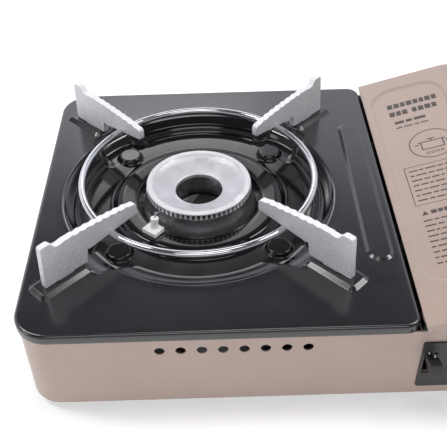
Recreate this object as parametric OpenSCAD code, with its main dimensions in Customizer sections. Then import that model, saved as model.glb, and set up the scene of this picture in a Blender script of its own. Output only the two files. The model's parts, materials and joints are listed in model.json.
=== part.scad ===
// Portable butane stove: a black enamelled hob with a lift-off pan support on the left, and a
// cartridge bay under a hinged, sloping lid on the right. Z is up, -Y is the front with the knob.

/* [Case] */
// Overall width, from the hob's left edge to the lid's right edge
total_w = 348; // [344:1:352]
// Height of the hob's top surface above the table
hob_z = 74; // [74:0.5:76]
// Thickness of the sheet metal
sheet = 1; // [0.8:0.1:1]
// Depth of the hob, front to back
hob_d = 275; // [274:1:276]
// How far the case walls stand inside the hob's lip
wall_inset = 1.5; // [1.4:0.1:1.8]

/* [Hob] */
// Width of the hob
hob_w = 254; // [253:0.5:254]
// Height of the folded lip round the hob
lip_h = 6.7; // [5:0.1:6.8]
// Corner radius on the left, away from the cartridge bay
corner_r = 23; // [20:1:26]
// Corner radius beside the cartridge bay
bay_corner_r = 9.5; // [8:0.5:11]
// Radius of the bowl's rim
bowl_r = 99.4; // [98:0.2:100]
// Depth of the bowl's channel
bowl_depth = 12; // [10:0.5:12.5]
// Height of the pads under the pan support's feet
pad_h = 2; // [1.5:0.1:2.5]

/* [Burner] */
// Radius of the burner cap
cap_r = 38.4; // [37:0.2:39]
// Radius of the air hole down the middle of the burner
air_hole_r = 17.5; // [16:0.5:18]
// Number of flame ports round the cap
ports = 64; // [48:4:72]

/* [Pan support] */
// Radius of the wire ring, to the middle of the wire
ring_r = 84.8; // [84:0.2:86]
// Thickness of the wire
wire_d = 5.2; // [4:0.2:5.6]
// Thickness of a cast fin
fin_t = 4.8; // [4:0.2:5]
// Distance from one crest to the next along a fin
crest_pitch = 6.35; // [6:0.05:6.6]

/* [Lid] */
// Slope of the lid, in degrees
lid_slope = 16; // [15:0.5:16]
// Length of the lid, front to back
lid_d = 278; // [277:0.5:279]

/* [Controls] */
// Radius of the control knob
knob_r = 20; // [17:0.5:20.5]
// Travel of the locking lever, in degrees
lever_turn = 36; // [30:1:36]

/* [Hidden] */
$fn = 64;
clear = 0.05;                       // running clearance on a pin
knob_front = -146;                  // foremost plane of the stove
back_y = -knob_front;               // rearmost plane, the lid's back edge
hob_x0 = -total_w / 2;
hob_x1 = hob_x0 + hob_w;
hob_y1 = back_y - (lid_d - hob_d) / 2;
hob_y0 = hob_y1 - hob_d;
hob_under = hob_z - sheet;
case_x0 = hob_x0 + wall_inset;
case_x1 = total_w / 2 - 1.6;
case_y0 = hob_y0 + wall_inset;
case_y1 = hob_y1 - wall_inset;
case_corner_r = corner_r - wall_inset;
case_bay_r = 4;
floor_z = 6;                        // underside of the floor pan
floor_top = floor_z + sheet;
wall_top = hob_z - sheet - 0.5;
bay_wall_top = hob_z - lip_h - 0.5; // wall height where the hob's corner and the hinge pass over
bay_wall_x = 84.5;                  // the walls rise under the lid from here

burner = [hob_x0 + 116.5, hob_y1 - 134.5];
bowl_lip_r = 90.5;
bowl_ledge = 2.2;
platform_r = 60.5;
platform_z = -6.5;
plate_hole_r = 47;
plate_flange = 4;
boss_r = 9.2;
boss_at = 79;
igniter_angle = 231;
igniter_at = 52;

fin_in = 61;                        // the fins run between these radii
fin_out = 141;
foot_in = 106.5;
lug_in = 118;
lug_out = 130;
lug_depth = 5.5;
ring_z = 12.9;
arm_tip_z = 16;
arm_root_z = 11;
crest_first = 70.1;
crest_last = 117;
crest_h = 0.55;
nub_z = 35;

lid_x0 = 81.5;
lid_top_s = 70;                     // length of the sloping face
lid_arc_r = (total_w / 2 - lid_x0 - lid_top_s * cos(lid_slope)) / (1 + sin(lid_slope));
lid_side_z = 60;
lid_y0 = back_y - lid_d;
hinge = [84.7, hob_z - 2.9];
hinge_pin_r = 1.2;
knuckle_r = 2.8;
knuckle_y = [-123.9, 129.9];
knuckle_len = 8;
panel_s = [5.5, 66];
panel_y = [-99, 128.7];
panel_r = 20;
panel_depth = 1.2;

tube_angle = -28;
tube_z = 44;
tube_r = 9.5;
tube_in = 30;
tube_out = 146;
elbow_at = 163;
bay_x = 127.5;                      // the cartridge's axis
bay_z = 46;
spindle = [134, 36];
spindle_r = 3;
fascia_t = 1.2;
port_y = -92;
port_r = 5;
port_len = 6;
seal_t = 1.5;
partition_x = 80;
lever_x = 86;
lever_pivot = [-118, 38];
lever_arm = 26;
drive_arm = 18;
bar_x = 89.5;
bar_t = 1.5;
bar_h = 6;
bar_z = lever_pivot[1] + drive_arm - bar_h / 2;
bar_travel = 11.2;
pusher_y = 110;
screw_r = 1.6;
pipe_r = 2;
port_w = 2.1;
port_top = 5.9;
vent_r = 3.25;
vent_pitch = 13.33;
vent_z = hob_z - 18.2;

// ---- helpers ----

// Rectangle with its own radius at each corner: front left, front right, back right, back left
module corner_rect(x0, x1, y0, y1, radii) {
    fl = radii[0];
    fr = radii[1];
    br = radii[2];
    bl = radii[3];
    polygon([
        [x0 + fl, y0], [x1 - fr, y0], [x1, y0 + fr], [x1, y1 - br],
        [x1 - br, y1], [x0 + bl, y1], [x0, y1 - bl], [x0, y0 + fl]
    ]);
    translate([x0 + fl, y0 + fl]) circle(fl);
    translate([x1 - fr, y0 + fr]) circle(fr);
    translate([x1 - br, y1 - br]) circle(br);
    translate([x0 + bl, y1 - bl]) circle(bl);
}

module hob_outline(inset = 0) {
    near = corner_r - inset;
    bay = bay_corner_r - inset;
    corner_rect(hob_x0 + inset, hob_x1 - inset, hob_y0 + inset, hob_y1 - inset, [near, bay, bay, near]);
}

module case_outline(inset = 0) {
    near = case_corner_r - inset;
    bay = case_bay_r - inset;
    corner_rect(case_x0 + inset, case_x1 - inset, case_y0 + inset, case_y1 - inset, [near, bay, bay, near]);
}

// Box between two corners
module block(low, high) {
    translate(low) cube(high - low);
}

// Cylinder along Y from y0 to y1, with its axis at [x, z]
module rod_y(at, r, y0, y1) {
    translate([at[0], y1, at[1]]) rotate([90, 0, 0]) cylinder(r = r, h = y1 - y0);
}

// Cylinder along X from x0 to x1, with its axis at [y, z]
module rod_x(at, r, x0, x1) {
    translate([x0, at[0], at[1]]) rotate([0, 90, 0]) cylinder(r = r, h = x1 - x0);
}

// Round rod between two points
module rod(a, b, r) {
    d = b - a;
    len = norm(d);
    translate(a) rotate([0, acos(d[2] / len), atan2(d[1], d[0])]) cylinder(r = r, h = len);
}

// Profile in X and Z, drawn out along Y
module along_y(y0, y1) {
    translate([0, y1, 0]) rotate([90, 0, 0]) linear_extrude(y1 - y0) children();
}

// Puts its children on the burner's axis, turned to an angle
module at_burner(angle = 0, z = 0) {
    translate([burner[0], burner[1], z]) rotate([0, 0, angle]) children();
}

module four_ways() {
    for (a = [45:90:315]) at_burner(a) children();
}

// ---- case ----

lid_crest = [lid_x0 + lid_top_s * cos(lid_slope), hob_z + lid_top_s * sin(lid_slope)];
lid_centre = lid_crest + lid_arc_r * [sin(lid_slope), -cos(lid_slope)];
arc_steps = 20;

// The lid's face seen from the front, taken in by t: up the slope from x0 and round the crest
function lid_line(t, x0) = concat(
    [[x0, hob_z - t / cos(lid_slope) + (x0 - lid_x0) * tan(lid_slope)]],
    [for (i = [0:arc_steps]) let (a = (90 + lid_slope) * (1 - i / arc_steps))
        lid_centre + (lid_arc_r - t) * [cos(a), sin(a)]]
);

// Space under the lid's outer face. Taken in by t it runs on to the left, so that a shell stays open there
module lid_section(t = 0) {
    left = t > 0 ? lid_x0 - 10 : lid_x0;
    polygon(concat([[left, 0]], lid_line(t, left), [[lid_centre[0] + lid_arc_r - t, 0]]));
}

// What the case walls may fill, seen from the front
module wall_profile() {
    hob_end = hob_x1 - bay_corner_r;
    gap = sheet + 0.5;
    polygon(concat(
        [[hob_x0, floor_z], [hob_x0, wall_top], [hob_end, wall_top], [hob_end, bay_wall_top]],
        [[bay_wall_x, bay_wall_top]], lid_line(gap, bay_wall_x), [[lid_centre[0] + lid_arc_r - gap, floor_z]]
    ));
}

module front_vents() {
    for (i = [0:7]) rod_y([burner[0] - 25.2 + i * vent_pitch, vent_z], vent_r, hob_y0 - 5, hob_y0 + 10);
}

module back_vents() {
    for (i = [0:13]) rod_y([burner[0] - 86 + i * vent_pitch, vent_z], vent_r, hob_y1 - 10, hob_y1 + 5);
}

module left_vents() {
    for (row = [0, 1], i = [0:9 - row]) {
        y = burner[1] + (i + row / 2 - 4.5) * vent_pitch;
        rod_x([y, vent_z - row * 12], vent_r, hob_x0 - 5, hob_x0 + 10);
    }
}

module lever_slot(y0, y1) {
    block([84.6, y0, 28], [93.4, y1, 48]);
}

module case_wrap() {
    color("tan") difference() {
        intersection() {
            difference() {
                translate([0, 0, floor_z]) linear_extrude(100) case_outline();
                translate([0, 0, floor_z - 1]) linear_extrude(102) case_outline(sheet);
            }
            along_y(case_y0 - 1, case_y1 + 1) wall_profile();
        }
        front_vents();
        back_vents();
        left_vents();
        lever_slot(case_y0 - 1, case_y0 + 3);
        rod_y(spindle, 9, case_y0 - 1, case_y0 + 3);
        hob_screw_spots() cylinder(r = screw_r, h = 20, center = true);
    }
}

module floor_pan() {
    color("silver") difference() {
        translate([0, 0, floor_z]) linear_extrude(sheet) case_outline(sheet + clear);
        for (i = [-3:3], side = [-1, 1])
            at_burner(0, floor_z - 1) translate([side * 62 - 18, i * 13 - 2.5, 0]) cube([36, 5, 3]);
        for (p = foot_spots) translate([p[0], p[1], floor_z - 1]) cylinder(r = 2, h = 3);
    }
}

foot_spots = [[-146, -104], [148, -104], [-146, 118], [148, 118]];

module foot(i) {
    color("dimgray") translate([foot_spots[i][0], foot_spots[i][1], 0]) difference() {
        cylinder(r1 = 8.2, r2 = 9.5, h = floor_z);
        translate([0, 0, -1]) cylinder(r = 4.2, h = 3.4);
        cylinder(r = 2.02, h = floor_z + 1);
    }
}

module foot_screws() {
    color("silver") for (p = foot_spots) translate([p[0], p[1], 0]) {
        translate([0, 0, 1]) cylinder(r = 3.8, h = 1.4);
        translate([0, 0, 2]) cylinder(r = 2, h = 8);
    }
}

module partition() {
    x0 = partition_x;
    color("gainsboro") difference() {
        union() {
            block([x0, case_y0 + 1.2, floor_top], [x0 + sheet, case_y1 - 1.2, hob_z - lip_h - 1]);
            block([x0 - 10, case_y0 + 8, floor_top], [x0 + sheet, case_y1 - 8, floor_top + sheet]);
        }
        rod_x([burner[1] + (x0 + 0.5 - burner[0]) * tan(tube_angle), tube_z], 7, x0 - 1, x0 + 2);
        block([x0 - 1, case_y0, floor_top - 1], [x0 + 2, case_y0 + 9, 16]);
        block([x0 - 11, -24, floor_top - 1], [x0 + 2, 14, 11]);
        for (y = stud_spots) rod_x([y, bar_z + bar_h / 2], 2, x0 - 1, x0 + 2);
        for (i = [0:5]) rod_x([-20 + i * 24, 30], 4, x0 - 1, x0 + 2);
    }
}

module control_fascia() {
    color("black") difference() {
        along_y(case_y0 - fascia_t, case_y0)
            corner_rect(82.8, 167.5, 14, 57.1, [1.6, 1.6, 1.6, 1.6]);
        lever_slot(case_y0 - 3, case_y0 + 1);
        rod_y(spindle, 8, case_y0 - 3, case_y0 + 1);
    }
}

// ---- hob ----

// Half section of the bowl, from the rim down to the hole
module bowl_section() {
    floor_d = -bowl_depth;
    polygon([
        [bowl_r + 2, 0], [bowl_r, 0], [bowl_r - 1.6, -1.2], [bowl_lip_r, -bowl_ledge],
        [bowl_lip_r - 3, -bowl_depth + 2], [bowl_lip_r - 6, floor_d],
        [platform_r + 7, floor_d], [platform_r + 4.5, floor_d + 1],
        [platform_r, platform_z], [plate_hole_r, platform_z],
        [plate_hole_r - sheet, platform_z - sheet], [plate_hole_r - sheet, platform_z - plate_flange],
        [plate_hole_r, platform_z - plate_flange], [plate_hole_r, platform_z - sheet],
        [platform_r - 0.6, platform_z - sheet],
        [platform_r + 4, floor_d], [platform_r + 7, floor_d - sheet],
        [bowl_lip_r - 5, floor_d - sheet], [bowl_lip_r - 2, floor_d + 2],
        [bowl_lip_r + 1, -bowl_ledge - sheet], [bowl_r - 1.4, -1.2 - sheet], [bowl_r + 2, -sheet]
    ]);
}

// Raised pad with sloping sides, centred on X and running outwards
module pad(r0, r1, half_w, h, slope) {
    hull() {
        translate([r0, -half_w, -0.5]) cube([r1 - r0, 2 * half_w, 0.5]);
        translate([r0 + slope, slope - half_w, 0]) cube([r1 - r0 - 2 * slope, 2 * (half_w - slope), h]);
    }
}

module rib(x, y0, y1, r, h, slope) {
    hull() for (y = [y0 + r, y1 - r]) translate([x, y, hob_z - 0.5]) {
        cylinder(r = r, h = 0.5, $fn = 32);
        cylinder(r = r - slope, h = 0.5 + h, $fn = 32);
    }
}

module top_plate() {
    color("#2b2b2f") difference() {
        union() {
            difference() {
                translate([0, 0, hob_z - lip_h]) linear_extrude(lip_h) hob_outline();
                translate([0, 0, hob_z - lip_h - 1]) linear_extrude(lip_h + 1 - sheet) hob_outline(sheet);
                at_burner(0, 0) cylinder(r = bowl_r + 1.5, h = 200);
            }
            at_burner(0, hob_z) rotate_extrude($fn = 128) bowl_section();
            four_ways() translate([0, 0, hob_z]) pad(107.5, 149, 9.5, pad_h, 3);
            four_ways() translate([boss_at, 0, hob_z - bowl_depth - 0.5]) cylinder(r = boss_r, h = 4.4);
            rib(burner[0] + 121.9, burner[1] - 83, burner[1] + 79, 9.4, 1.4, 2.2);
        }
        four_ways() translate([lug_in - 0.7, -fin_t / 2 - 0.4, hob_z - 3])
            cube([lug_out - lug_in + 1.4, fin_t + 0.8, 8]);
        at_burner(igniter_angle, hob_z - 20) {
            translate([igniter_at, 0, 0]) cylinder(r = 5.2, h = 20);
            translate([igniter_at - 8, -5.2, 0]) cube([8, 10.4, 20]);
        }
        hob_screw_spots() cylinder(r = screw_r, h = 20, center = true);
    }
}

// Screws that hold the lip to the case: two at the back and two on the left
module hob_screw_spots() {
    for (x = [-130, 30]) translate([x, case_y1, hob_z - 4]) rotate([90, 0, 0]) children();
    for (y = [-80, 90]) translate([case_x0, y, hob_z - 4]) rotate([0, 90, 0]) children();
}

module hob_screws() {
    head = 1.1;
    color("#2b2b2f") {
        for (x = [-130, 30]) {
            rod_y([x, hob_z - 4], 2.2, hob_y1, hob_y1 + head);
            rod_y([x, hob_z - 4], screw_r, case_y1 - sheet - 2, hob_y1 + head);
        }
        for (y = [-80, 90]) rod_x([y, hob_z - 4], screw_r, hob_x0 + 0.1, case_x0 + sheet + 2);
    }
}

// ---- burner ----

module burner_body() {
    low = hob_z - 20;
    color("#8f9094") difference() {
        union() {
            at_burner(0, low) rotate_extrude() polygon([
                [air_hole_r + 0.2, 0], [43.2, 0], [43.2, 4], [42.2, 7.5], [40, 12.5], [38.4, 17],
                [37.9, 20.5], [38.9, 21.4], [38.9, 22.3], [35.5, 22.3], [36, 17], [38, 11], [40, 6],
                [40.5, 2], [air_hole_r + 2.5, 2],
                [air_hole_r + 2.5, 16.8], [air_hole_r + 0.2, 16.8]
            ]);
            at_burner(tube_angle) translate([32, 0, tube_z - tube_r - 2])
                cylinder(r = 11, h = low - tube_z + tube_r + 2);
        }
        at_burner(tube_angle) {
            translate([32, 0, tube_z - tube_r]) cylinder(r = 9, h = low - tube_z + tube_r + 3);
            translate([34, 0, tube_z]) rotate([0, 90, 0]) cylinder(r = tube_r + clear, h = 30);
        }
    }
}

// Dished cap with a comb of teeth under its rim: the gaps between them are the flame ports
module burner_cap() {
    base = hob_z + 2.3;
    top = hob_z + 6.8;
    color("#c9c9cb") difference() {
        at_burner() rotate_extrude() polygon([
            [air_hole_r, hob_z - 3], [air_hole_r, hob_z - 0.6], [air_hole_r + 0.6, hob_z - 0.1],
            [32.6, hob_z + 5.4], [33.4, top - 0.2], [34, top], [cap_r - 0.4, top], [cap_r, top - 0.4],
            [cap_r, base], [35, base], [35, hob_z + 1.5], [33.5, hob_z + 1.5], [33, hob_z + 4],
            [air_hole_r + 2.5, hob_z - 1.8], [air_hole_r + 2.5, hob_z - 3]
        ]);
        for (i = [0:ports - 1]) at_burner(i * 360 / ports, base - 1) {
            translate([36, -port_w / 2, 0]) cube([6, port_w, port_top - 1.3]);
            translate([32.5, -port_w / 2, 0]) cube([5, port_w, 2.5]);
        }
    }
}

module burner_bracket() {
    top = hob_z - 20;
    color("silver") at_burner(tube_angle + 90) difference() {
        union() {
            translate([-54, -9, top - 1.5]) cube([108, 18, 1.5]);
            for (side = [-1, 1]) {
                translate([side * 53.25 - 0.75, -9, floor_top]) cube([1.5, 18, top - floor_top]);
                translate([side * 58.5 - 6, -9, floor_top]) cube([12, 18, 1.5]);
            }
        }
        translate([0, 0, top - 3]) cylinder(r = 7, h = 5);
        for (side = [-1, 1]) translate([side * 30, 0, top - 3]) cylinder(r = 1.6, h = 5);
    }
}

module burner_screws() {
    top = hob_z - 20;
    color("silver") at_burner(tube_angle + 90) for (side = [-1, 1]) translate([side * 30, 0, 0]) {
        translate([0, 0, top - 3.5]) cylinder(r = 3.2, h = 2);
        translate([0, 0, top - 2]) cylinder(r = 1.5, h = 2);
    }
}

function injector_point(at) = [burner[0] + at * cos(tube_angle), burner[1] + at * sin(tube_angle), tube_z];

module mixing_tube() {
    color("#a5a6aa") difference() {
        rod(injector_point(42), injector_point(tube_out), tube_r);
        rod(injector_point(41), injector_point(tube_out + 1), tube_r - 1.5);
        for (side = [-1, 1]) translate(injector_point(tube_out - 16)) rotate([0, 0, tube_angle])
            translate([0, side * tube_r, 0]) cube([14, 6, 7], center = true);
    }
}

module injector() {
    color("goldenrod") {
        difference() {
            rod(injector_point(tube_out - 6), injector_point(elbow_at), 3);
            rod(injector_point(tube_out - 7), injector_point(tube_out - 1), 0.6);
        }
        translate(injector_point(elbow_at)) difference() {
            translate([-4.5, -4.5, -4.5]) cube([9, 9, 9]);
            rod([0, -5, 0], [0, -1, 0], pipe_r);
        }
    }
}

module gas_pipe() {
    start = injector_point(elbow_at);
    bend = 6;
    turn_y = -106;
    color("#b87333") {
        rod([start[0], turn_y + bend, tube_z], [start[0], start[1] - 4.5, tube_z], pipe_r);
        translate([start[0] + bend, turn_y + bend, tube_z]) rotate([0, 0, 180])
            rotate_extrude(angle = 90) translate([bend, 0]) circle(pipe_r);
        rod([start[0] + bend, turn_y, tube_z], [bay_x - 21, turn_y, tube_z], pipe_r);
    }
}

// ---- igniter ----

electrode_foot = [igniter_at + 1.2, 0, hob_z - 16];
electrode_top = [igniter_at - 3, 0, hob_z + 5];

module electrode_insulator() {
    waist = electrode_foot + 0.62 * (electrode_top - electrode_foot);
    color("white") at_burner(igniter_angle) {
        rod(electrode_foot, waist, 3.9);
        rod(electrode_foot + [-0.2, 0, 1], electrode_top, 2.9);
        translate([igniter_at - 5.5, -6, hob_z + platform_z + 0.6]) cube([10, 12, 3.2]);
    }
}

module electrode_wire() {
    bend = electrode_top + [-1.5, 0, 3];
    color("silver") at_burner(igniter_angle) {
        rod(electrode_top + [-0.1, 0, 0.3], bend, 0.7);
        translate(bend) sphere(0.85);
        rod(bend, bend + [-4.3, 0, -1.6], 0.7);
    }
}

module electrode_clip() {
    color("silver") at_burner(igniter_angle, hob_z - 14) difference() {
        translate([43.7, -6, 0]) cube([16, 12, 1.2]);
        translate([igniter_at + 0.9, 0, -1]) cylinder(r = 4.5, h = 4);
    }
}

// High-voltage lead from the piezo, under the lever and along the floor to the electrode
lead_points = [
    [97.6, -124, 33], [97.6, -124, 11], [72, -122, 11], [-20, -116, 11],
    [-84, -86, 11], [-99, -44, 14]
];

module igniter_lead() {
    lead_r = 1.2;
    $fn = 12;
    foot = [
        burner[0] + electrode_foot[0] * cos(igniter_angle),
        burner[1] + electrode_foot[0] * sin(igniter_angle), electrode_foot[2]
    ];
    route = concat(lead_points, [foot + [-5, 0, -24], foot - [0, 0, 1]]);
    color("firebrick") {
        for (i = [0:len(route) - 2]) rod(route[i], route[i + 1], lead_r);
        for (i = [1:len(route) - 2]) translate(route[i]) sphere(1.05 * lead_r);
    }
}

module piezo_body() {
    color("white") difference() {
        block([95, -127.4, 31], [117, -120.4, 41]);
        rod_x([-123.9, 36], 2.7, 108, 118);
        block([96.2, -125.4, 30], [99, -122.6, 33.2]);
    }
}

module piezo_plunger() {
    color("dimgray") rod_x([-123.9, 36], 2.4, 113, 123.4);
}

// ---- regulator and valve ----

module regulator_body() {
    c = [bay_x, bay_z - 2];
    color("#9a9ba0") difference() {
        union() {
            rod_y(c, 22, -116, -102);
            rod_y([bay_x, bay_z], 9, -102, port_y);
            rod_x([-106, tube_z], 5, bay_x - 25, bay_x - 19);
        }
        rod_y([bay_x, bay_z], port_r, port_y - port_len, port_y + 1);
        rod_y([bay_x, bay_z], port_r + 0.6, port_y - port_len - seal_t, port_y - port_len);
        rod_y(c, 19, -117, -108);
        rod_x([-106, tube_z], pipe_r + 0.02, bay_x - 26, bay_x - 21);
        for (a = [0:90:270]) regulator_screw_hole(a);
    }
}

module regulator_screw_hole(a) {
    rod_y([bay_x + 20.5 * cos(a + 45), bay_z - 2 + 20.5 * sin(a + 45)], 1.25, -117, -108);
}

module regulator_cover() {
    c = [bay_x, bay_z - 2];
    color("silver") difference() {
        rod_y(c, 22, -118.5, -117);
        rod_y(spindle, spindle_r + 0.1, -119, -116);
        for (a = [0:90:270]) rod_y([c[0] + 20.5 * cos(a + 45), c[1] + 20.5 * sin(a + 45)], 1.3, -119, -116);
    }
}

module diaphragm() {
    color("black") difference() {
        rod_y([bay_x, bay_z - 2], 22, -117, -116);
        rod_y(spindle, spindle_r + 0.1, -118, -115);
        for (a = [0:90:270]) regulator_screw_hole(a);
    }
}

module regulator_spring() {
    color("silver") for (i = [0:4])
        translate([bay_x - 6, -110 - i * 1.2, bay_z + 5]) rotate([90, 0, 0])
            rotate_extrude($fn = 32) translate([4, 0]) circle(0.5);
}

module port_seal() {
    color("black") difference() {
        rod_y([bay_x, bay_z], port_r + 0.6, port_y - port_len - seal_t, port_y - port_len);
        rod_y([bay_x, bay_z], 2.2, port_y - port_len - seal_t - 1, port_y);
    }
}

module regulator_screws() {
    c = [bay_x, bay_z - 2];
    color("silver") for (a = [0:90:270]) {
        at = [c[0] + 20.5 * cos(a + 45), c[1] + 20.5 * sin(a + 45)];
        rod_y(at, 1.2, -118.5, -109);
        rod_y(at, 2.2, -119.6, -118.5);
    }
}

module cartridge_tongue() {
    color("silver") {
        block([bay_x - 3, -102, bay_z + 12], [bay_x + 3, -89.5, bay_z + 13.2]);
        block([bay_x - 3, -102, bay_z + 9.05], [bay_x + 3, -100.8, bay_z + 12]);
    }
}

module valve_spindle() {
    color("silver") {
        rod_y(spindle, spindle_r, -138, -114);
        rod_y(spindle, 6, -127, -121);
        translate([spindle[0], -124, spindle[1]]) rotate([0, 60, 0])
            translate([-9.8, -3, -2]) cube([8, 6, 4]);
    }
}

module control_knob() {
    color("black") difference() {
        union() {
            rod_y(spindle, knob_r, case_y0 - 5, case_y0 - 3.2);
            translate([spindle[0], case_y0 - 5, spindle[1]]) rotate([90, 0, 0])
                cylinder(r1 = knob_r - 1.5, r2 = knob_r - 3, h = 5);
            block([spindle[0] - 3.2, knob_front, spindle[1] - knob_r + 3.4],
                [spindle[0] + 3.2, case_y0 - 9, spindle[1] + knob_r - 3.4]);
        }
        rod_y(spindle, spindle_r, -138, case_y0);
    }
}

// ---- locking lever and pusher ----

module lever_bracket() {
    low = lever_pivot[1] - 5;
    high = lever_pivot[1] + 5;
    color("silver") difference() {
        for (x = [82.6, 92]) block([x, case_y0 + sheet, low], [x + 1, lever_pivot[0] + 5, high]);
        rod_x(lever_pivot, 2.5, 80, 94);
    }
}

module lever_pin() {
    color("silver") rod_x(lever_pivot, 2.5, 82.6, 93);
}

// Bell crank: one arm to the grip, and one up to the pusher bar. It lies half its travel above level
module lever_crank() {
    t = lever_turn / 2;
    pin_at = [lever_pivot[0] + drive_arm * sin(t), lever_pivot[1] + drive_arm * cos(t)];
    color("silver") difference() {
        union() {
            rod_x(lever_pivot, 5.5, lever_x - 1.5, lever_x + 4.5);
            translate([lever_x, lever_pivot[0], lever_pivot[1]]) rotate([-t, 0, 0]) {
                translate([0, -lever_arm + 3, -2.5]) cube([2, lever_arm - 3, 5]);
                translate([0, -2.5, 0]) cube([2, 5, drive_arm + 3]);
            }
            rod_x(pin_at, 2, lever_x, 92.3);
        }
        rod_x(lever_pivot, 2.5 + clear, 80, 94);
    }
}

module lever_grip() {
    t = lever_turn / 2;
    color("black") translate([0, lever_pivot[0], lever_pivot[1]]) rotate([-t, 0, 0]) difference() {
        block([85.2, -lever_arm - 1.5, -4], [92.8, -lever_arm + 8.5, 4]);
        block([lever_x, -lever_arm + 3, -2.5], [lever_x + 2, 0, 2.5]);
    }
}

stud_spots = [-40, 80];

module pusher_bar() {
    pin_y = lever_pivot[0] + drive_arm * sin(lever_turn / 2);
    z0 = bar_z;
    color("silver") difference() {
        union() {
            block([bar_x, pin_y - 4, z0 - 3], [bar_x + bar_t, pin_y + 5, z0 + bar_h]);
            block([bar_x, pin_y, z0], [bar_x + bar_t, pusher_y, z0 + bar_h]);
        }
        block([bar_x - 1, pin_y - 2.3, z0 - 1.5], [bar_x + 3, pin_y + 2.3, z0 + bar_h - 0.6]);
        for (y = stud_spots) {
            block([bar_x - 1, y - 2.2, z0 + 0.8], [bar_x + 3, y + bar_travel + 2.2, z0 + 5.2]);
        }
    }
}

module pusher_plate() {
    color("silver") {
        block([bar_x, pusher_y, 22], [152, pusher_y + 1.5, 60]);
        block([bar_x + 10, pusher_y + 1.5, 22], [bar_x + 11.5, pusher_y + 12, 60]);
        block([150.5, pusher_y + 1.5, 22], [152, pusher_y + 12, 60]);
    }
}

module slide_studs() {
    color("silver") for (y = stud_spots) {
        rod_x([y, bar_z + bar_h / 2], 2, partition_x, bar_x + bar_t + 1);
        rod_x([y, bar_z + bar_h / 2], 3.6, partition_x + sheet, bar_x - 0.4);
        rod_x([y, bar_z + bar_h / 2], 3.2, bar_x + bar_t + 0.3, bar_x + bar_t + 1.3);
    }
}

module cartridge_cradle() {
    color("gainsboro") along_y(-70, 90) {
        translate([bay_x - 26, 9.4]) square([52, 1]);
        for (side = [-1, 1]) translate([bay_x, 0]) polygon([
            [side * 26, 9.4], [side * 26, 10.4], [side * 20, 17], [side * 17.5, 10.4], [side * 18.5, 10.4],
            [side * 20, 14.6], [side * 24, 10.4]
        ]);
    }
}

module heat_plate() {
    color("#b9babd") {
        block([35, -8, 8], [150, 12, 9.2]);
        block([33.8, -8, 8], [35, 12, 50]);
        block([5, -8, 48.8], [33.8, 12, 50]);
    }
}

// ---- lid ----

module lid_panel(grow, low, high) {
    translate([lid_x0, 0, hob_z]) rotate([0, -lid_slope, 0])
        translate([0, 0, low]) linear_extrude(high - low)
        corner_rect(panel_s[0] - grow, panel_s[1] + grow, panel_y[0] - grow, panel_y[1] + grow,
            [1, 1, 1, 1] * (panel_r + grow));
}

module lid() {
    back = back_y;
    color("tan") difference() {
        union() {
            along_y(lid_y0, back) difference() {
                lid_section();
                lid_section(sheet);
                translate([lid_x0 - 1, -1]) square([82, 60]);
                square([200, lid_side_z]);
            }
            for (y = [lid_y0, back - sheet]) along_y(y, y + sheet) difference() {
                lid_section();
                lid_section(6);
                square([200, lid_side_z]);
            }
            lid_panel(sheet, -panel_depth - sheet, -sheet / 2);
            for (y = knuckle_y) rod_y(hinge, knuckle_r, y, y + knuckle_len);
        }
        lid_panel(0, -panel_depth, 3);
        for (y = knuckle_y) rod_y(hinge, hinge_pin_r + clear, y - 1, y + knuckle_len + 1);
    }
}

module hinge_pins() {
    color("silver") {
        rod_y(hinge, hinge_pin_r, case_y0 + sheet, knuckle_y[0] + knuckle_len + 0.5);
        rod_y(hinge, hinge_pin_r, knuckle_y[1] - 0.5, case_y1 - sheet);
    }
}

module hinge_brackets() {
    color("silver") for (y = [case_y0 + sheet, case_y1 - sheet - 3.6]) difference() {
        union() {
            rod_y(hinge, 2.3, y, y + 3.6);
            block([hinge[0] - 0.3, y, bay_wall_top - 6], [hinge[0] + 5, y + 3.6, hinge[1] - 1.5]);
        }
        rod_y(hinge, hinge_pin_r, y - 1, y + 5);
    }
}

module lid_catch() {
    x = case_x1 - sheet;
    color("silver") {
        block([x - 1, 0, 48], [x, 14, 70]);
        block([x - 2.5, 0, 66], [x - 1, 14, 70]);
    }
}

// ---- pan support ----

// Height of a fin's top edge over the hob, with its row of rounded crests
function fin_top(r) = 26.05 + 4.2 * (r - crest_first) / 44.4 + 0.5 * sin(180 * (r - crest_first) / 44.4)
    + crest_h * cos(360 * (r - crest_first) / crest_pitch);

module fin_profile() {
    foot_z = pad_h;
    polygon(concat(
        [[fin_in, arm_tip_z], [fin_in, 22.6], [fin_in + 1.5, 24.4], [64.5, 25.1]],
        [for (r = [66:0.75:crest_last]) [r, fin_top(r)]],
        [
            [121, 30.4], [126.5, 29.4], [128, 29.8], [131.5, 34.3], [133, nub_z], [137.6, nub_z],
            [139.2, 33.8], [fin_out, foot_z + 1], [fin_out, foot_z], [foot_in + 0.8, foot_z],
            [foot_in, foot_z + 1], [foot_in - 1, 12.6], [foot_in - 2.5, arm_root_z]
        ]
    ));
}

module fin(angle) {
    color("#b4b5b8") at_burner(angle, hob_z) difference() {
        union() {
            translate([0, fin_t / 2, 0]) rotate([90, 0, 0]) linear_extrude(fin_t) fin_profile();
            translate([lug_in, -fin_t / 2, pad_h - lug_depth])
                cube([lug_out - lug_in, fin_t, lug_depth + 1]);
        }
        translate([0, 0, ring_z]) rotate_extrude($fn = 128)
            translate([ring_r, 0]) circle(wire_d / 2 + 0.01);
    }
}

module wire_ring() {
    color("gainsboro") at_burner(0, hob_z + ring_z)
        rotate_extrude($fn = 128) translate([ring_r, 0]) circle(wire_d / 2);
}

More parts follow.
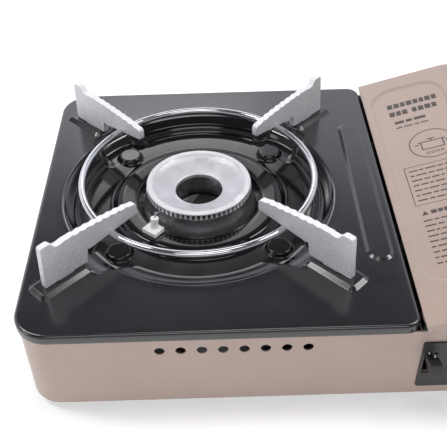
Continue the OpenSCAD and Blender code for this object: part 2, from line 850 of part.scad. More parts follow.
case_wrap();
floor_pan();
top_plate();
partition();
control_fascia();
burner_body();
burner_cap();
burner_bracket();
mixing_tube();
injector();
gas_pipe();
electrode_insulator();
electrode_wire();
electrode_clip();
igniter_lead();
regulator_body();
regulator_cover();
diaphragm();
regulator_spring();
port_seal();
cartridge_tongue();
piezo_body();
piezo_plunger();
valve_spindle();
control_knob();
lever_bracket();
lever_pin();
lever_crank();
lever_grip();
pusher_bar();
pusher_plate();
slide_studs();
cartridge_cradle();
heat_plate();
lid();
hinge_pins();
hinge_brackets();
lid_catch();
wire_ring();
fin(225);  // fin_front_left
fin(315);  // fin_front_right
fin(135);  // fin_back_left
fin(45);  // fin_back_right
foot(0);  // foot_front_left
foot(1);  // foot_front_right
foot(2);  // foot_back_left
foot(3);  // foot_back_right
foot_screws();
hob_screws();
regulator_screws();
burner_screws();
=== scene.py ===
# Portable gas stove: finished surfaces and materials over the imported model.
import json
import math

import bmesh
import bpy
import numpy as np
from mathutils import Matrix, Vector


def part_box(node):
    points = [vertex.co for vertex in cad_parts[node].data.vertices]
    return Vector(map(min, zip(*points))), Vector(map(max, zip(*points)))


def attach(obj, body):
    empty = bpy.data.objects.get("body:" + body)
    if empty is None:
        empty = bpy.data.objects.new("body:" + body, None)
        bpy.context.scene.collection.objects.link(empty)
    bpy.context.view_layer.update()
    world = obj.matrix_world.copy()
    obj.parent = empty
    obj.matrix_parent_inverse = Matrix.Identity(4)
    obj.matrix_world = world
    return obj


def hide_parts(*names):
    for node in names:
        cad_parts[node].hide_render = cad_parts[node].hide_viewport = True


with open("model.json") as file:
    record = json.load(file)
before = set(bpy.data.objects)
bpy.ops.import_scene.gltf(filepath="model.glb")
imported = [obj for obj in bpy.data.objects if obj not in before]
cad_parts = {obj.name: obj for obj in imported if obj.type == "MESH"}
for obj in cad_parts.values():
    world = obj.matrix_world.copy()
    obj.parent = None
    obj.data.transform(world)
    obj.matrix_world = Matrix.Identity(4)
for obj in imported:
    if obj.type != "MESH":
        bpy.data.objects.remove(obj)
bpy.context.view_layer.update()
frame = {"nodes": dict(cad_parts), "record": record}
nodes = frame["nodes"]
MM = 0.001

# ---- places taken from the frame, in millimetres ----


def node_box(name):
    low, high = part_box(name)
    return np.array(low) / MM, np.array(high) / MM


hob_low, hob_high = node_box("top_plate")
ring_low, ring_high = node_box("wire_ring")
lid_low, lid_high = node_box("lid")
BURNER = (ring_low[:2] + ring_high[:2]) / 2
PAD_H = 2.0
HOB_Z = hob_high[2] - PAD_H
LIP_H = 6.7
CAP_H = 6.8
SHEET = 0.95


# ---- materials ----

RANGE_SOCKETS = ("From Min", "From Max", "To Min", "To Max")


class Shader:
    """A principled material with short-hands for its texture nodes."""

    def __init__(self, name, color, roughness, metallic=0.0):
        self.mat = bpy.data.materials.new(name)
        self.mat.use_nodes = True
        self.tree = self.mat.node_tree
        self.out = self.tree.nodes["Principled BSDF"]
        self.set("Metallic", metallic)
        self.set("Roughness", roughness)
        self.out.inputs["Base Color"].default_value = (*color, 1)
        self.color = color
        self.bump_end = None
        self.coord = self.tree.nodes.new("ShaderNodeTexCoord").outputs["Object"]

    def set(self, socket, value):
        self.out.inputs[socket].default_value = value
        return self

    def link(self, a, b):
        self.tree.links.new(a, b)

    def noise(self, scale, detail=4.0, stretch=(1, 1, 1)):
        node = self.tree.nodes.new("ShaderNodeTexNoise")
        node.inputs["Scale"].default_value = scale
        node.inputs["Detail"].default_value = detail
        place = self.tree.nodes.new("ShaderNodeMapping")
        place.inputs["Scale"].default_value = stretch
        self.link(self.coord, place.inputs["Vector"])
        self.link(place.outputs["Vector"], node.inputs["Vector"])
        return node.outputs["Fac"]

    def ranged(self, value, low, high, out_low, out_high):
        node = self.tree.nodes.new("ShaderNodeMapRange")
        for name, number in zip(RANGE_SOCKETS, (low, high, out_low, out_high)):
            node.inputs[name].default_value = number
        self.link(value, node.inputs["Value"])
        return node.outputs["Result"]

    def vary_roughness(self, scale, low, high, stretch=(1, 1, 1)):
        uneven = self.ranged(self.noise(scale, 5, stretch), 0.3, 0.7, low, high)
        self.link(uneven, self.out.inputs["Roughness"])
        return self

    def mix_in(self, other, factor):
        """Mix another colour over what the base colour is so far, by a factor socket."""
        mix = self.tree.nodes.new("ShaderNodeMix")
        mix.data_type = "RGBA"
        base = self.out.inputs["Base Color"]
        if base.is_linked:
            self.link(base.links[0].from_socket, mix.inputs["A"])
        else:
            mix.inputs["A"].default_value = base.default_value
        mix.inputs["B"].default_value = (*other, 1)
        self.link(factor, mix.inputs["Factor"])
        self.link(mix.outputs["Result"], base)
        return self

    def vary_color(self, other, scale, low=0.35, high=0.65, stretch=(1, 1, 1)):
        """The colour drifts towards another one with a noise of that scale."""
        return self.mix_in(other, self.ranged(self.noise(scale, 6, stretch), low, high, 0, 1))

    def painted_edge_highlight(self, other, amount=0.8):
        """Painted highlight: edges that stick out show another colour."""
        shape = self.tree.nodes.new("ShaderNodeNewGeometry")
        return self.mix_in(other, self.ranged(shape.outputs["Pointiness"], 0.52, 0.60, 0, amount))

    def painted_top_light(self, other, amount=0.8):
        """Painted light: faces that look up show another colour."""
        shape = self.tree.nodes.new("ShaderNodeNewGeometry")
        split = self.tree.nodes.new("ShaderNodeSeparateXYZ")
        self.link(shape.outputs["Normal"], split.inputs["Vector"])
        return self.mix_in(other, self.ranged(split.outputs["Z"], 0.35, 0.85, 0, amount))

    def bump(self, scale, distance, strength=0.5, detail=4.0, stretch=(1, 1, 1)):
        node = self.tree.nodes.new("ShaderNodeBump")
        node.inputs["Strength"].default_value = strength
        node.inputs["Distance"].default_value = distance
        self.link(self.noise(scale, detail, stretch), node.inputs["Height"])
        if self.bump_end is not None:
            self.link(self.bump_end, node.inputs["Normal"])
        self.bump_end = node.outputs["Normal"]
        self.link(self.bump_end, self.out.inputs["Normal"])
        return self


def from_burner(s, height):
    """Distance of the shaded point from the burner's axis at that height, in metres."""
    away = s.tree.nodes.new("ShaderNodeVectorMath")
    away.operation = "DISTANCE"
    away.inputs[1].default_value = (BURNER[0] * MM, BURNER[1] * MM, height * MM)
    s.link(s.coord, away.inputs[0])
    return away.outputs["Value"]


def hob_enamel():
    """Black enamel, a little greyer and less glossy away from the bowl."""
    s = Shader("enamel", (0.0035, 0.0035, 0.0045), 0.14)
    away = from_burner(s, HOB_Z)
    s.mix_in((0.0110, 0.0110, 0.0135), s.ranged(away, 0.096, 0.103, 0, 1))
    s.vary_color((0.0085, 0.0085, 0.010), 25, 0.45, 0.9)
    uneven = s.tree.nodes.new("ShaderNodeMath")
    uneven.operation = "MULTIPLY"
    s.link(s.ranged(away, 0.096, 0.106, 0.09, 0.20), uneven.inputs[0])
    s.link(s.ranged(s.noise(60, 5), 0.3, 0.7, 0.85, 1.15), uneven.inputs[1])
    s.link(uneven.outputs[0], s.out.inputs["Roughness"])
    s.bump(900, 0.0002, 0.06, 3).bump(2600, 0.0001, 0.03, 2)
    return s.set("IOR", 1.7).set("Coat Weight", 0.25).set("Coat Roughness", 0.08)


def bowl_enamel():
    """The enamel inside the bowl: deep black and glossy."""
    s = Shader("bowl_enamel", (0.0030, 0.0030, 0.0038), 0.10)
    s.vary_roughness(60, 0.09, 0.13).vary_color((0.006, 0.006, 0.007), 25, 0.45, 0.9)
    return s.bump(900, 0.0002, 0.05, 3).set("IOR", 1.52)


def shell_paint():
    s = Shader("shell_paint", (0.48, 0.368, 0.314), 0.40)
    s.vary_roughness(90, 0.34, 0.44).vary_color((0.46, 0.351, 0.299), 30)
    s.bump(1600, 0.0002, 0.12, 3).bump(4200, 0.0001, 0.10, 2)
    return s.set("Coat Weight", 0.15).set("Coat Roughness", 0.3)


def zinc_steel():
    s = Shader("zinc_steel", (0.60, 0.61, 0.62), 0.34, 1.0)
    s.vary_roughness(120, 0.26, 0.44, (1, 6, 1)).vary_color((0.50, 0.51, 0.53), 70)
    return s.bump(900, 0.0001, 0.2, 4, (1, 8, 1))


def cast_alloy():
    """The burner's body, with painted shade low down, deep in the hole inside the burner."""
    s = Shader("cast_alloy", (0.44, 0.44, 0.455), 0.24, 0.85)
    s.vary_roughness(200, 0.20, 0.30).vary_color((0.38, 0.38, 0.39), 60)
    # painted shade: near black below a height of 55 to 62 mm, deep in the hole inside the burner
    place = s.tree.nodes.new("ShaderNodeSeparateXYZ")
    s.link(s.coord, place.inputs["Vector"])
    s.mix_in((0.02, 0.019, 0.018), s.ranged(place.outputs["Z"], 0.055, 0.062, 0.95, 0))
    return s.bump(1500, 0.0002, 0.12)


def cap_alloy():
    """The burner's cap: dull casting with a painted highlight on its rim, a few dark spots and painted
    highlights on its edges.
    """
    s = Shader("cap_alloy", (0.70, 0.70, 0.72), 0.40, 0.55)
    s.vary_roughness(300, 0.34, 0.50).vary_color((0.60, 0.60, 0.62), 90)
    s.vary_color((0.42, 0.42, 0.42), 240, 0.66, 0.76)
    # painted highlight: the cap turns brighter from 34.2 to 35 mm out from the burner's axis, over its rim
    s.mix_in((0.86, 0.86, 0.87), s.ranged(from_burner(s, HOB_Z + CAP_H), 0.0342, 0.0350, 0, 0.7))
    # painted highlight on the cap's edges that stick out
    s.painted_edge_highlight((0.90, 0.90, 0.91), 0.8)
    return s.bump(2200, 0.0003, 0.35).bump(500, 0.0003, 0.12)


def sooted_steel():
    s = Shader("sooted_steel", (0.06, 0.058, 0.056), 0.55, 0.6)
    return s.vary_roughness(150, 0.45, 0.7).vary_color((0.03, 0.028, 0.027), 80).bump(900, 0.0001, 0.2)


def sheet_alloy():
    s = Shader("sheet_alloy", (0.66, 0.66, 0.68), 0.30, 1.0)
    return s.vary_roughness(150, 0.24, 0.4, (1, 10, 1)).bump(900, 0.0001, 0.2, 4, (1, 12, 1))


def brass():
    s = Shader("brass", (0.70, 0.49, 0.20), 0.26, 1.0)
    return s.vary_roughness(400, 0.2, 0.34).vary_color((0.60, 0.42, 0.18), 150).bump(2400, 0.0001, 0.15)


def copper():
    s = Shader("copper", (0.70, 0.36, 0.22), 0.28, 1.0)
    return s.vary_roughness(300, 0.22, 0.38).vary_color((0.52, 0.27, 0.18), 110).bump(1800, 0.0001, 0.12)


def ceramic():
    s = Shader("ceramic", (0.93, 0.925, 0.91), 0.20)
    s.vary_roughness(300, 0.16, 0.28).vary_color((0.89, 0.88, 0.86), 180)
    return s.bump(1200, 0.0001, 0.1).set("Coat Weight", 0.5)


def lead_skin():
    s = Shader("lead_skin", (0.30, 0.025, 0.02), 0.48)
    return s.vary_roughness(300, 0.4, 0.56).vary_color((0.24, 0.02, 0.018), 140).bump(2500, 0.0001, 0.2)


def seal_rubber():
    s = Shader("seal_rubber", (0.022, 0.022, 0.023), 0.72)
    s.vary_roughness(260, 0.62, 0.82).vary_color((0.035, 0.034, 0.033), 80)
    return s.bump(2200, 0.0002, 0.35)


def black_plastic():
    s = Shader("black_plastic", (0.020, 0.020, 0.022), 0.40)
    s.vary_roughness(400, 0.34, 0.48).vary_color((0.027, 0.027, 0.029), 90)
    return s.bump(3600, 0.0002, 0.35, 2)


def white_plastic():
    s = Shader("white_plastic", (0.80, 0.79, 0.76), 0.42)
    return s.vary_roughness(300, 0.36, 0.5).vary_color((0.66, 0.65, 0.6), 120).bump(2600, 0.0001, 0.2)


def fin_cast():
    """The pan support's fins: pale grainy casting, with painted light on the faces that look up."""
    s = Shader("fin_cast", (0.66, 0.66, 0.68), 0.44, 0.12)
    s.vary_roughness(250, 0.40, 0.58).vary_color((0.60, 0.60, 0.62), 60)
    # the speckle is the casting's grain; painted light makes the faces that look up lighter
    s.vary_color((0.86, 0.86, 0.88), 900, 0.52, 0.72).painted_top_light((0.95, 0.95, 0.96), 0.9)
    return s.bump(1500, 0.0004, 0.5).bump(600, 0.0003, 0.2)


def chrome_wire():
    s = Shader("chrome_wire", (0.66, 0.66, 0.68), 0.10, 1.0)
    return s.vary_roughness(160, 0.07, 0.15).vary_color((0.60, 0.60, 0.62), 60).bump(700, 0.0001, 0.08)


def print_ink():
    s = Shader("print_ink", (0.070, 0.055, 0.048), 0.46)
    return s.vary_roughness(500, 0.40, 0.54).vary_color((0.10, 0.08, 0.07), 300).bump(3000, 0.0001, 0.15)


def dial_ink():
    s = Shader("dial_ink", (0.78, 0.78, 0.76), 0.5)
    return s.vary_roughness(500, 0.44, 0.58).vary_color((0.70, 0.70, 0.68), 300).bump(3000, 0.0001, 0.15)


FINISHES = (
    hob_enamel, bowl_enamel, shell_paint, zinc_steel, cast_alloy, cap_alloy, sooted_steel, sheet_alloy,
    brass, copper, ceramic, lead_skin, seal_rubber, black_plastic, white_plastic, fin_cast, chrome_wire,
    print_ink, dial_ink,
)
MATERIALS = {made.__name__: made().mat for made in FINISHES}
SLOT_OF = {p["node"]: p["material_slot"] for p in frame["record"]["subparts"]}
FINISH_OF = {"burner_bracket": "sooted_steel", "burner_screws": "sooted_steel"}


# softer or sharper edges than the rest of the carried-over pieces, in millimetres
BEVELS = {
    "igniter_lead": 0, "regulator_spring": 0, "electrode_wire": 0, "gas_pipe": 0, "burner_cap": 0.15,
    "electrode_insulator": 0.8, "lever_grip": 1.2, "control_fascia": 0.5,
}


def dress_cad(bevel=0.3):
    """Every CAD node gets its finish, welded smooth faces and, where it shows, softened edges."""
    for name, obj in nodes.items():
        obj.data.materials.clear()
        obj.data.materials.append(MATERIALS[FINISH_OF.get(name, SLOT_OF[name])])
        obj.data.shade_smooth()
        weld = obj.modifiers.new("weld", "WELD")
        weld.merge_threshold = 0.002 * MM
        width = BEVELS.get(name, bevel)
        if width:
            edge = obj.modifiers.new("edge", "BEVEL")
            edge.width = width * MM
            edge.segments = 2
            edge.limit_method = "ANGLE"
            edge.angle_limit = math.radians(40)
            edge.use_clamp_overlap = True
            level = obj.modifiers.new("normals", "WEIGHTED_NORMAL")
            level.mode = "FACE_AREA"
            level.weight = 100


# ---- mesh helpers, in millimetres ----


def make(name, points, faces, body, slot, material=None, replaces=()):
    mesh = bpy.data.meshes.new(name)
    mesh.from_pydata([tuple(float(c) * MM for c in p) for p in points], [], faces)
    mesh.update()
    build = bmesh.new()
    build.from_mesh(mesh)
    bmesh.ops.recalc_face_normals(build, faces=build.faces)
    build.to_mesh(mesh)
    build.free()
    obj = bpy.data.objects.new(name, mesh)
    bpy.context.scene.collection.objects.link(obj)
    mesh.materials.append(MATERIALS[material or slot])
    mesh.shade_smooth()
    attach(obj, body)
    if replaces:
        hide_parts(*replaces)
    return obj


def grid_faces(rows, cols, wrap):
    """Quads over rows by cols points; the columns close on themselves if wrap."""
    faces = []
    for i in range(rows - 1):
        for j in range(cols if wrap else cols - 1):
            k = (j + 1) % cols
            faces.append((i * cols + j, i * cols + k, (i + 1) * cols + k, (i + 1) * cols + j))
    return faces


def lathe(name, profile, origin, axis, body, slot, steps=96, material=None, replaces=()):
    """Closed profile of (radius, height) turned about an axis through origin."""
    turn = Vector(axis).to_track_quat("Z", "Y").to_matrix()
    points = []
    for r, h in profile:
        for j in range(steps):
            a = 2 * math.pi * j / steps
            points.append(Vector(origin) + turn @ Vector((r * math.cos(a), r * math.sin(a), h)))
    faces = grid_faces(len(profile), steps, True)
    last = (len(profile) - 1) * steps
    faces += [(last + j, last + (j + 1) % steps, (j + 1) % steps, j) for j in range(steps)]
    return make(name, points, faces, body, slot, material, replaces)


def solidify(obj, thickness, offset=-1):
    shell = obj.modifiers.new("thickness", "SOLIDIFY")
    shell.thickness = thickness * MM
    shell.offset = offset
    return obj


def smooth(x):
    x = np.clip(x, 0, 1)
    return x * x * (3 - 2 * x)


# ---- hob ----

CORNER_NEAR = 23.0
CORNER_BAY = 9.5
EDGE_R = 2.6
BOWL_R = 98.0
BOWL_PROFILE = [
    (45.9, -10.4), (45.9, -8.2), (46.3, -7.4), (47.2, -6.9), (48.4, -6.8), (58.6, -6.4), (60.2, -6.8),
    (61.6, -8.0), (63.6, -10.4), (65.0, -11.6), (67.2, -12.0), (81.0, -11.5), (83.4, -11.2), (85.2, -10.4),
    (86.6, -9.2), (87.8, -7.0), (89.0, -5.2), (90.6, -3.9), (93.0, -2.9), (96.4, -1.9), (98.2, -1.2),
    (99.2, -0.5), (100.0, -0.1), (101.0, 0.0), (103.0, 0.0)
]
RAYS = 720
BOWL_DEPTH = 12.0
BAY_HALF, BAY_REACH = 22.0, 8.4
BOSS_AT, BOSS_R, BOSS_H = 79.0, 10.4, 3.9
# the sheet is left open here, under the slots of the pads
OPEN_U, OPEN_V = (112, 141), 6.0
FIN_ANGLES = (("back_right", 45), ("back_left", 135), ("front_left", 225), ("front_right", 315))


def rounded_box_distance(x, y, inset):
    """Signed distance to the hob's outline, moved in by inset; the left corners are larger."""
    cx, cy = (hob_low[0] + hob_high[0]) / 2, (hob_low[1] + hob_high[1]) / 2
    hx, hy = (hob_high[0] - hob_low[0]) / 2 - inset, (hob_high[1] - hob_low[1]) / 2 - inset
    r = np.where(x < cx, CORNER_NEAR, CORNER_BAY) - inset
    r = np.maximum(r, 0.5)
    qx, qy = np.abs(x - cx) - hx + r, np.abs(y - cy) - hy + r
    return np.minimum(np.maximum(qx, qy), 0) + np.hypot(np.maximum(qx, 0), np.maximum(qy, 0)) - r


def outline_reach(angles, inset):
    """How far the outline lies from the burner's axis along each ray."""
    low, high = np.full(angles.shape, 50.0), np.full(angles.shape, 260.0)
    for _ in range(40):
        mid = (low + high) / 2
        x, y = BURNER[0] + mid * np.cos(angles), BURNER[1] + mid * np.sin(angles)
        out = rounded_box_distance(x, y, inset) > 0
        high, low = np.where(out, mid, high), np.where(out, low, mid)
    return low


def hob_height(r, a):
    """Height of the hob's face over its flat part at a radius and angle from the burner's axis."""
    u, v = along_and_across(r, a)
    bay = smooth((BAY_HALF - v) / 9.0) * smooth((r - 80) / 7)
    inner = r - BAY_REACH * bay
    z = np.interp(inner, *zip(*BOWL_PROFILE))
    boss = BOSS_H * smooth((BOSS_R - np.hypot(u - BOSS_AT, v)) / 2.6)
    return np.maximum(z, boss * (boss > 0.02) - BOWL_DEPTH)


def hob_rings(angles):
    """Rings from the burner's hole out over the edge: a radius, and a height where it is fixed."""
    hole = BOWL_PROFILE[:5]
    rings = [(np.full(RAYS, r), h) for r, h in hole]
    radii = list(np.arange(50, 60, 2)) + list(np.arange(60, 108, 0.7))
    rings += [(np.full(RAYS, r), None) for r in radii]
    start, reach, spread, fold = radii[-1], outline_reach(angles, EDGE_R + 0.4), 24, 7
    rings += [(start + (reach - start) * k / spread, None) for k in range(1, spread + 1)]
    for i in range(1, fold + 1):
        fall = math.pi / 2 * i / fold
        rings.append((outline_reach(angles, EDGE_R * (1 - math.sin(fall))), -EDGE_R * (1 - math.cos(fall))))
    rings += [(outline_reach(angles, 0.0), -drop) for drop in (4.2, 5.6, LIP_H)]
    return rings


def along_and_across(r, a):
    """The same place measured along the nearest diagonal and across it."""
    off = np.radians((np.degrees(a) % 90) - 45)
    return r * np.cos(off), np.abs(r * np.sin(off))


def build_hob():
    """The enamelled plate as one sheet: bowl, bays, bosses and folded edge."""
    angles = np.linspace(0, 2 * math.pi, RAYS, endpoint=False)
    rings = hob_rings(angles)
    points = []
    for r, fixed in rings:
        z = hob_height(r, angles) if fixed is None else np.full(RAYS, fixed)
        x, y = BURNER[0] + r * np.cos(angles), BURNER[1] + r * np.sin(angles)
        points += zip(x, y, HOB_Z + z)
    flat = np.array(points) - (*BURNER, 0)
    r = np.hypot(flat[:, 0], flat[:, 1])
    u, v = along_and_across(r, np.arctan2(flat[:, 1], flat[:, 0]))
    under_slot = (u > OPEN_U[0]) & (u < OPEN_U[1]) & (v < OPEN_V)
    faces = [f for f in grid_faces(len(rings), RAYS, True) if not under_slot[list(f)].any()]
    obj = make("hob", points, faces, "base", "hob_enamel", replaces=("top_plate",))
    obj.data.materials.append(MATERIALS["bowl_enamel"])
    for face in obj.data.polygons:
        face.material_index = int(r[list(face.vertices)].mean() < BOWL_R)
    return solidify(obj, SHEET)


def box_loop(u0, u1, v0, v1, radius, steps=6):
    """Corners of a rounded rectangle, counter-clockwise."""
    loop = []
    for k, (cu, cv) in enumerate(((u1, v0), (u1, v1), (u0, v1), (u0, v0))):
        mu = cu + (-radius if k < 2 else radius)
        mv = cv + (radius if k in (0, 3) else -radius)
        for i in range(steps + 1):
            a = math.radians(-90 + 90 * k + 90 * i / steps)
            loop.append((mu + radius * math.cos(a), mv + radius * math.sin(a)))
    return loop


# inset and height of the loops up the side of a raised pressing, as shares of its slope and height
RAISED = [(-0.06, -0.1), (0.0, 0.0), (0.12, 0.06), (0.88, 0.94), (1.0, 1.0), (1.12, 1.0)]


def raised(name, loops, body, place, slot=None, finish="hob_enamel"):
    """A pressing that stands up from a face: loops from foot to top, then a slot or a closed top."""
    points = []
    for loop, height in loops:
        points += [place(u, v, height) for u, v in loop]
    count, rows = len(loops[0][0]), len(loops)
    if slot:
        points += [place(u, v, loops[-1][1]) for u, v in slot]
        points += [place(u, v, loops[-1][1] - SLOT_DEPTH) for u, v in slot]
        rows += 2
    faces = grid_faces(rows, count, True)
    if not slot:
        faces.append(tuple(range((rows - 1) * count, rows * count)))
    obj = make(name, points, faces, body, finish)
    level = obj.modifiers.new("normals", "WEIGHTED_NORMAL")
    level.mode = "FACE_AREA"
    level.weight = 100
    return obj


PAD_U = (107.5, 149.0)
PAD_V = 9.5
PAD_SLOPE = 3.4
SLOT_U = (117.3, 130.7)
SLOT_V = 2.8
SLOT_DEPTH = 2.6
RIB_AT = (121.9, -2.0)
RIB_HALF = 81.0
RIB_R = 9.4
RIB_SLOPE = 2.6
RIB_H = 1.4


def build_pressings():
    """The pads under the pan support's feet, each with its slot, and the long rib beside the bowl."""
    for node, angle in FIN_ANGLES:
        c, n = math.cos(math.radians(angle)), math.sin(math.radians(angle))

        def place(u, v, height):
            return (BURNER[0] + u * c - v * n, BURNER[1] + u * n + v * c, HOB_Z + height)

        loops = []
        for inset, rise in RAISED:
            d = inset * PAD_SLOPE
            loop = box_loop(PAD_U[0] + d, PAD_U[1] - d, d - PAD_V, PAD_V - d, 4.2 - 0.8 * d)
            loops.append((loop, rise * PAD_H))
        slot = box_loop(*SLOT_U, -SLOT_V, SLOT_V, 0.8)
        raised("pad_" + node, loops, "base", place, slot)

    def beside(u, v, height):
        return (BURNER[0] + RIB_AT[0] + u, BURNER[1] + RIB_AT[1] + v, HOB_Z + height)

    loops = []
    for inset, rise in RAISED:
        d = inset * RIB_SLOPE
        r = RIB_R - d
        loops.append((box_loop(-r, r, d - RIB_HALF, RIB_HALF - d, r - 0.01, 14), rise * RIB_H))
    raised("hob_rib", loops, "base", beside)


# ---- lid ----

SLOPE = math.radians(16)
LID_RUN = 70.0
LID_R = (lid_high[0] - lid_low[0] - LID_RUN * math.cos(SLOPE)) / (1 + math.sin(SLOPE))
PANEL_S = (5.5, 66.0)
PANEL_Y = (-99.0, 128.7)
PANEL_R = 20.0
PANEL_DEPTH = 1.2


def lid_point(s, y, sink=0.0):
    """Point on the lid at s along its section from the left edge, and its outward normal."""
    sn, cs = math.sin(SLOPE), math.cos(SLOPE)
    arc = LID_R * (math.pi / 2 + SLOPE)
    if s <= LID_RUN:
        p, n = (lid_low[0] + s * cs, HOB_Z + s * sn), (-sn, cs)
    else:
        cx, cz = lid_low[0] + LID_RUN * cs + LID_R * sn, HOB_Z + LID_RUN * sn - LID_R * cs
        a = math.pi / 2 + SLOPE - min(s - LID_RUN, arc) / LID_R
        p, n = (cx + LID_R * math.cos(a), cz + LID_R * math.sin(a)), (math.cos(a), math.sin(a))
        if s > LID_RUN + arc:
            p = (p[0], p[1] - (s - LID_RUN - arc))
    return Vector((p[0] - sink * n[0], y, p[1] - sink * n[1]))


def panel_sink(s, y):
    cs, cy = (PANEL_S[0] + PANEL_S[1]) / 2, (PANEL_Y[0] + PANEL_Y[1]) / 2
    qx = abs(s - cs) - (PANEL_S[1] - PANEL_S[0]) / 2 + PANEL_R
    qy = abs(y - cy) - (PANEL_Y[1] - PANEL_Y[0]) / 2 + PANEL_R
    d = min(max(qx, qy), 0) + math.hypot(max(qx, 0), max(qy, 0)) - PANEL_R
    return PANEL_DEPTH * float(smooth(-d / 1.8))


def build_lid():
    arc = LID_R * (math.pi / 2 + SLOPE)
    total = LID_RUN + arc + (HOB_Z + LID_RUN * math.sin(SLOPE) - LID_R * math.cos(SLOPE) - lid_low[2])
    stations = list(np.arange(0, LID_RUN, 0.7)) + list(np.linspace(LID_RUN, LID_RUN + arc, 30))
    stations += list(np.linspace(LID_RUN + arc, total, 8))[1:]
    bend, lap = 1.6, 6.0
    ys = [(lid_low[1] + bend + t, 0.0) for t in np.linspace(0, lid_high[1] - lid_low[1] - 2 * bend, 262)]
    front, back = [], []
    for i in range(1, 6):
        a = math.pi / 2 * i / 5
        front.append((lid_low[1] + bend * (1 - math.sin(a)), bend * (1 - math.cos(a))))
        back.append((lid_high[1] - bend * (1 - math.sin(a)), bend * (1 - math.cos(a))))
    first, last = [(lid_low[1], lap), (lid_low[1], 3.5)], [(lid_high[1], 3.5), (lid_high[1], lap)]
    rows = first + front[::-1] + ys + back + last
    points = [lid_point(s, y, sink + panel_sink(s, y)) for y, sink in rows for s in stations]
    faces = grid_faces(len(rows), len(stations), False)
    obj = make("lid_cover", points, faces, "lid", "shell_paint", replaces=("lid",))
    return solidify(obj, SHEET)


# ---- rest of the pieces ----


def build_ring():
    """The pan support's wire ring, as a torus."""
    wire = (ring_high[2] - ring_low[2]) / 2
    major = (ring_high[0] - ring_low[0]) / 2 - wire
    z = (ring_high[2] + ring_low[2]) / 2
    steps, around = 288, 28
    points = []
    for i in range(steps):
        a = 2 * math.pi * i / steps
        for j in range(around):
            b = 2 * math.pi * j / around
            r = major + wire * math.cos(b)
            x, y = BURNER[0] + r * math.cos(a), BURNER[1] + r * math.sin(a)
            points.append((x, y, z + wire * math.sin(b)))
    faces = []
    for i in range(steps):
        for j in range(around):
            i2, j2 = (i + 1) % steps, (j + 1) % around
            faces.append((i * around + j, i2 * around + j, i2 * around + j2, i * around + j2))
    return make("support_ring", points, faces, "pan_support", "chrome_wire", replaces=("wire_ring",))


FIN_T = 4.8
CREST_FIRST, CREST_LAST, CREST_PITCH, CREST_H = 70.1, 117.0, 6.35, 0.62


def fin_outline():
    """A fin from the side, as (distance from the burner's axis, height over the hob)."""
    top = []
    for u in np.arange(66, CREST_LAST, 0.4):
        t = (u - CREST_FIRST) / 44.4
        wave = math.cos(2 * math.pi * (u - CREST_FIRST) / CREST_PITCH)
        top.append((u, 25.95 + 4.2 * t + 0.5 * math.sin(math.pi * t) + CREST_H * wave))
    nub = [(118.5, 30.6), (121, 30.45), (124, 29.9), (126.5, 29.4), (127.6, 29.6), (128.6, 30.6)]
    nub += [(130.6, 33.4), (131.6, 34.5), (132.8, 34.95), (137.2, 34.95), (138.6, 34.6), (139.2, 33.6)]
    foot = [(141, 3), (141, 2.05), (106.9, 2.05), (106.5, 3), (106.2, 8), (105.7, 12.6), (104.8, 13.2)]
    arm = [(103.5, 11.4), (61.4, 16.0)]
    tip = [(61.05, 16.6), (61.05, 22.4), (61.6, 23.8), (62.8, 24.7), (64.5, 25.05)]
    return tip + top + nub + foot + arm


def plate_from_outline(name, outline, half, place, body, slot, edge, replaces=()):
    """A flat plate with rounded edges: place turns (along, up, across) into millimetres."""
    build = bmesh.new()
    near = [build.verts.new(Vector(place(u, z, -half)) * MM) for u, z in outline]
    far = [build.verts.new(Vector(place(u, z, half)) * MM) for u, z in outline]
    caps = [build.faces.new(near), build.faces.new(far[::-1])]
    count = len(outline)
    for i in range(count):
        j = (i + 1) % count
        build.faces.new((near[j], near[i], far[i], far[j]))
    rim = [e for f in caps for e in f.edges]
    bmesh.ops.bevel(
        build, geom=rim, offset=edge * MM, segments=3, profile=0.5, affect="EDGES", clamp_overlap=True
    )
    bmesh.ops.recalc_face_normals(build, faces=build.faces)
    for face in build.faces:
        face.smooth = len(face.verts) <= 8
    bmesh.ops.triangulate(build, faces=[f for f in build.faces if not f.smooth])
    mesh = bpy.data.meshes.new(name)
    build.to_mesh(mesh)
    build.free()
    mesh.materials.append(MATERIALS[slot])
    obj = bpy.data.objects.new(name, mesh)
    bpy.context.scene.collection.objects.link(obj)
    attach(obj, body)
    if replaces:
        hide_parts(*replaces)
    return obj


def build_fins():
    """Four cast fins, each with the lug that sits in its pad's slot."""
    outline = fin_outline()
    lug = [(118, -3.4), (130, -3.4), (130, 2.6), (118, 2.6)]
    for node, angle in FIN_ANGLES:
        c, n = math.cos(math.radians(angle)), math.sin(math.radians(angle))

        def place(u, z, across):
            return (BURNER[0] + u * c - across * n, BURNER[1] + u * n + across * c, HOB_Z + z)

        body, slot, half = "pan_support", "fin_cast", FIN_T / 2
        plate_from_outline("fin_plate_" + node, outline, half, place, body, slot, 0.5, ("fin_" + node,))
        plate_from_outline("fin_lug_" + node, lug, half - 0.3, place, body, slot, 0.3)


# ---- print on the lid: plain bars and a picture of a pan, with no lettering ----


def stadium(s0, s1, y, height):
    """Rounded bar from s0 to s1 as points (s, y)."""
    h = height / 2
    round_by = min(h, 0.45)
    corners = [(s0, y - h), (s1, y - h), (s1, y + h), (s0, y + h)]
    points = []
    for k, (cs, cy) in enumerate(corners):
        ms = cs + (round_by if k in (0, 3) else -round_by)
        my = cy + (round_by if k in (0, 1) else -round_by)
        for i in range(4):
            a = math.radians(180 + 90 * k + 30 * i)
            points.append((ms + round_by * math.cos(a), my + round_by * math.sin(a)))
    return points


def bar_row(s0, y, height, lengths, gap):
    bars = []
    for length in lengths:
        bars.append(stadium(s0, s0 + length, y, height))
        s0 += length + gap
    return bars


